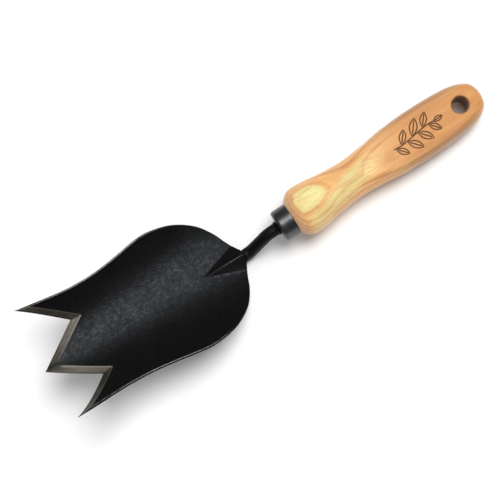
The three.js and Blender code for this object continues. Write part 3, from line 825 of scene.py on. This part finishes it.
def make_ferrule(finish):
    """The cup's closed profile turned about the axis: hole, floor, round corner, wall, lip, inside."""
    sides, soft = 128, 0.25
    front, floor_x = -FERRULE_LENGTH, -FERRULE_LENGTH + FERRULE_FLOOR
    r, c, hole = FERRULE_RADIUS, FERRULE_CORNER, FERRULE_HOLE
    inner = r - FERRULE_WALL
    profile = [(floor_x, hole), (front + 0.3, hole), (front + 0.1, hole + 0.1), (front, hole + 0.3),
               (front, r - c - 1.5), (front, r - c)]
    for t in np.radians(np.linspace(9, 90, 10)):
        profile.append((front + c - c * math.cos(t), r - c + c * math.sin(t)))
    profile += [(x, r) for x in np.linspace(front + c + 0.6, -GAP - soft, 12)]
    for t in np.radians((30, 60, 90)):
        profile.append((-GAP - soft * (1 - math.sin(t)), r - soft * (1 - math.cos(t))))
    profile += [(-GAP, inner), (floor_x + 0.6, inner), (floor_x, inner - 0.6)]
    rings = [turned_ring(x, radius, section_angles(sides)) for x, radius in profile]
    points, faces = rings_to_mesh(rings, closed_ends=False)
    last = (len(rings) - 1) * sides
    faces += [(last + j, last + (j + 1) % sides, (j + 1) % sides, j) for j in range(sides)]
    piece("ferrule_cup", points, faces, "ferrule", [finish], sharp=40)


# ------------------------------------------------------------------ handle

def flat_height(x):
    """Half thickness between the flats, which sweep out of the wood towards the waist."""
    run = np.clip(FLAT_FRONT_X - x, 0, RUN_OUT * 0.9)
    return FLAT_Z + RUN_OUT - np.sqrt(RUN_OUT ** 2 - run ** 2)


def handle_body():
    """The handle with level flats and no hanging hole: blind hole, tenon, and the grip to the butt."""
    sides, soft = 160, 0.7
    angles = section_angles(sides) + math.pi / sides

    def flattened_ring(x, radius):
        """A turned section, pressed in where it would stand out past the two flats."""
        ring = turned_ring(x, radius, angles)
        z, top = np.abs(ring[:, 2]), flat_height(x)
        pressed = 0.5 * (z + top - np.sqrt((z - top) ** 2 + soft * soft))
        ring[:, 2] = np.sign(ring[:, 2]) * np.clip(pressed, 0, z)
        return ring

    front_half, rear_half = TANG_FRONT_HALF + GAP, TANG_REAR_HALF + GAP
    rings = []
    for x in np.linspace(TANG_REAR + 2 * GAP, -TENON_LENGTH, 12):
        share = np.clip((TANG_REAR - x) / (TANG_REAR + TENON_LENGTH), 0, 1)
        half = rear_half + (front_half - rear_half) * share
        rings.append(turned_ring(x, square_reach(half, angles), angles))
    outline = resample(spline(HANDLE_PROFILE, 1500), 250)[:-1]
    tenon = [(-TENON_LENGTH, TENON_RADIUS - 0.4), (-TENON_LENGTH + 0.4, TENON_RADIUS),
             (0, TENON_RADIUS), (0, outline[0][1] - 0.3)]
    rings += [flattened_ring(x, radius) for x, radius in (*tenon, *outline)]
    return rings_to_mesh(rings)


def cut_hang_hole(points, faces):
    """Opens the two flats round the hanging hole and joins them by its chamfered wall."""
    bm = bmesh.new()
    verts = [bm.verts.new(p) for p in points]
    for face in faces:
        bm.faces.new([verts[i] for i in face])
    clear = HOLE_RADIUS + HOLE_CHAMFER + 1.3
    near_flat = FLAT_Z - 1.5

    def by_hole(face):
        middle = face.calc_center_median()
        return abs(middle.z) > near_flat and math.hypot(middle.x - HOLE_X, middle.y) < clear

    bmesh.ops.delete(bm, geom=[face for face in bm.faces if by_hole(face)], context="FACES")

    # The wall: down the chamfer from the upper flat, along the bore, and out to the lower flat.
    sides = 72
    angles = section_angles(sides)
    r, c, z = HOLE_RADIUS, HOLE_CHAMFER, FLAT_Z
    mouth = [(r + c + 0.5, z), (r + c + 0.12, z), (r + c - 0.05, z - 0.06), (r + 0.12, z - c + 0.14),
             (r, z - c - 0.05), (r, z - c - 0.5)]
    bore = [(r, z - c - 0.5 - i) for i in range(1, 9)]
    rows = []
    for radius, height in mouth + bore + [(radius, -height) for radius, height in mouth[::-1]]:
        ring = [(HOLE_X + radius * math.cos(t), radius * math.sin(t), height) for t in angles]
        rows.append([bm.verts.new(point) for point in ring])
    for above, below in zip(rows, rows[1:]):
        for j in range(sides):
            k = (j + 1) % sides
            bm.faces.new((above[j], above[k], below[k], below[j]))
    for sign in (1, -1):
        open_edges = [edge for edge in bm.edges if edge.is_boundary]
        rim = [edge for edge in open_edges if all(v.co.z * sign > near_flat for v in edge.verts)]
        bmesh.ops.bridge_loops(bm, edges=rim)
    bmesh.ops.recalc_face_normals(bm, faces=bm.faces)
    bm.verts.index_update()
    points = np.array([v.co for v in bm.verts])
    faces = [[v.index for v in face.verts] for face in bm.faces]
    bm.free()
    return points, faces


def make_handle(finish):
    points, faces = cut_hang_hole(*handle_body())
    wood = piece("handle_ash", twisted(points), faces, "handle", [finish], own=points, sharp=35)
    x, y, z = points.T
    in_hole = (np.hypot(x - HOLE_X, y) < HOLE_RADIUS + 0.2) & (np.abs(z) < FLAT_Z - 0.5)
    # The hole's wall: its dark brown colour is painted shade inside the hole.
    store(wood.data, "bore", in_hole)


# ------------------------------------------------------------------ build

make_blade(black_paint(), ground_steel())
make_shank(forged_black("forged_black"))
weld_finish = forged_black("weld_black", 1.6)
make_weld(1, "weld_left", weld_finish)
make_weld(-1, "weld_right", weld_finish)
make_ferrule(ferrule_steel())
make_handle(ash_wood())

# ------------------------------------------------------------------ floor, light and camera

low, high = cad_box
centre = (low + high) / 2


def pale_floor():
    f = Finish("pale_floor")
    place = f.node("TexCoord").outputs["Object"]
    tone = f.ramp(f.noise(place, 3.0, 3), [(0.3, (0.9, 0.9, 0.895)), (0.7, (0.93, 0.93, 0.93))])
    return f.shade(Base_Color=tone, Roughness=f.remap(f.noise(place, 60.0, 2), 0.3, 0.7, 0.8, 0.95),
                   Specular_IOR_Level=0.1)


FLOOR_SIZE, FLOOR_DROP = 8, 0.0003
bpy.ops.mesh.primitive_grid_add(x_subdivisions=8, y_subdivisions=8, size=FLOOR_SIZE,
                                location=(centre.x, centre.y, low.z - FLOOR_DROP))
floor = bpy.context.object
floor.name = "floor"
floor.data.materials.append(pale_floor())

# A broad bright ceiling panel over dim walls; it leans towards the butt and the far side.
PANEL_LIGHT, WALL_LIGHT = 6.5, 0.09
PANEL_TOWARDS = (0.47, 0.075, 0.879)
PANEL_EDGE, PANEL_FULL = 0.9, 0.995  # cosines of the angles from its middle
world = bpy.data.worlds.new("studio")
world.use_nodes = True
nodes, links = world.node_tree.nodes, world.node_tree.links
background = nodes["Background"]
background.inputs["Color"].default_value = (1, 1, 1, 1)
direction = nodes.new("ShaderNodeTexCoord")
towards_panel = nodes.new("ShaderNodeVectorMath")
towards_panel.operation = "DOT_PRODUCT"
towards_panel.inputs[1].default_value = PANEL_TOWARDS
brightness = nodes.new("ShaderNodeMapRange")
brightness.interpolation_type = "SMOOTHSTEP"
brightness.inputs["From Min"].default_value = PANEL_EDGE
brightness.inputs["From Max"].default_value = PANEL_FULL
brightness.inputs["To Min"].default_value = WALL_LIGHT
brightness.inputs["To Max"].default_value = PANEL_LIGHT
links.new(direction.outputs["Generated"], towards_panel.inputs[0])
links.new(towards_panel.outputs["Value"], brightness.inputs["Value"])
links.new(brightness.outputs[0], background.inputs["Strength"])
bpy.context.scene.world = world


def softbox(name, direction, distance, size, power, mirrored=True):
    """A round light aimed at the middle of the tool; only a mirrored one shows in glossy surfaces."""
    data = bpy.data.lights.new(name, "AREA")
    data.shape = "DISK"
    data.size = size
    data.energy = power
    lamp = bpy.data.objects.new(name, data)
    towards = Vector(direction).normalized()
    lamp.location = centre + towards * distance
    lamp.visible_glossy = mirrored
    lamp.rotation_mode = "QUATERNION"
    lamp.rotation_quaternion = towards.to_track_quat("Z", "Y")
    bpy.context.scene.collection.objects.link(lamp)


softbox("key", (0.33, 0.02, 0.94), 1.3, 0.7, 6.8)
softbox("far_fill", (-0.5, 0.72, 0.5), 1.5, 1.2, 6.0, mirrored=False)
softbox("near_fill", (-0.5, -0.72, 0.5), 1.5, 1.2, 6.0, mirrored=False)

TARGET = Vector((-0.0158, -0.0023, 0.020))
AZIMUTH, ELEVATION, ROLL = math.radians(8.93), math.radians(76.49), math.radians(42.9)
DISTANCE, LENS = 0.7722, 86.6
camera_data = bpy.data.cameras.new("camera")
camera_data.lens = LENS
camera_data.sensor_width = 36.0
camera_data.clip_start = 0.01
camera = bpy.data.objects.new("camera", camera_data)
level = math.cos(ELEVATION)
back = Vector((math.sin(AZIMUTH) * level, -math.cos(AZIMUTH) * level, math.sin(ELEVATION)))
camera.location = TARGET + back * DISTANCE
camera.rotation_mode = "QUATERNION"
camera.rotation_quaternion = (-back).to_track_quat("-Z", "Y") @ Quaternion((0, 0, 1), -ROLL)
bpy.context.scene.collection.objects.link(camera)
bpy.context.scene.camera = camera

bpy.context.scene.view_settings.view_transform = "Standard"
bpy.context.scene.view_settings.look = "None"
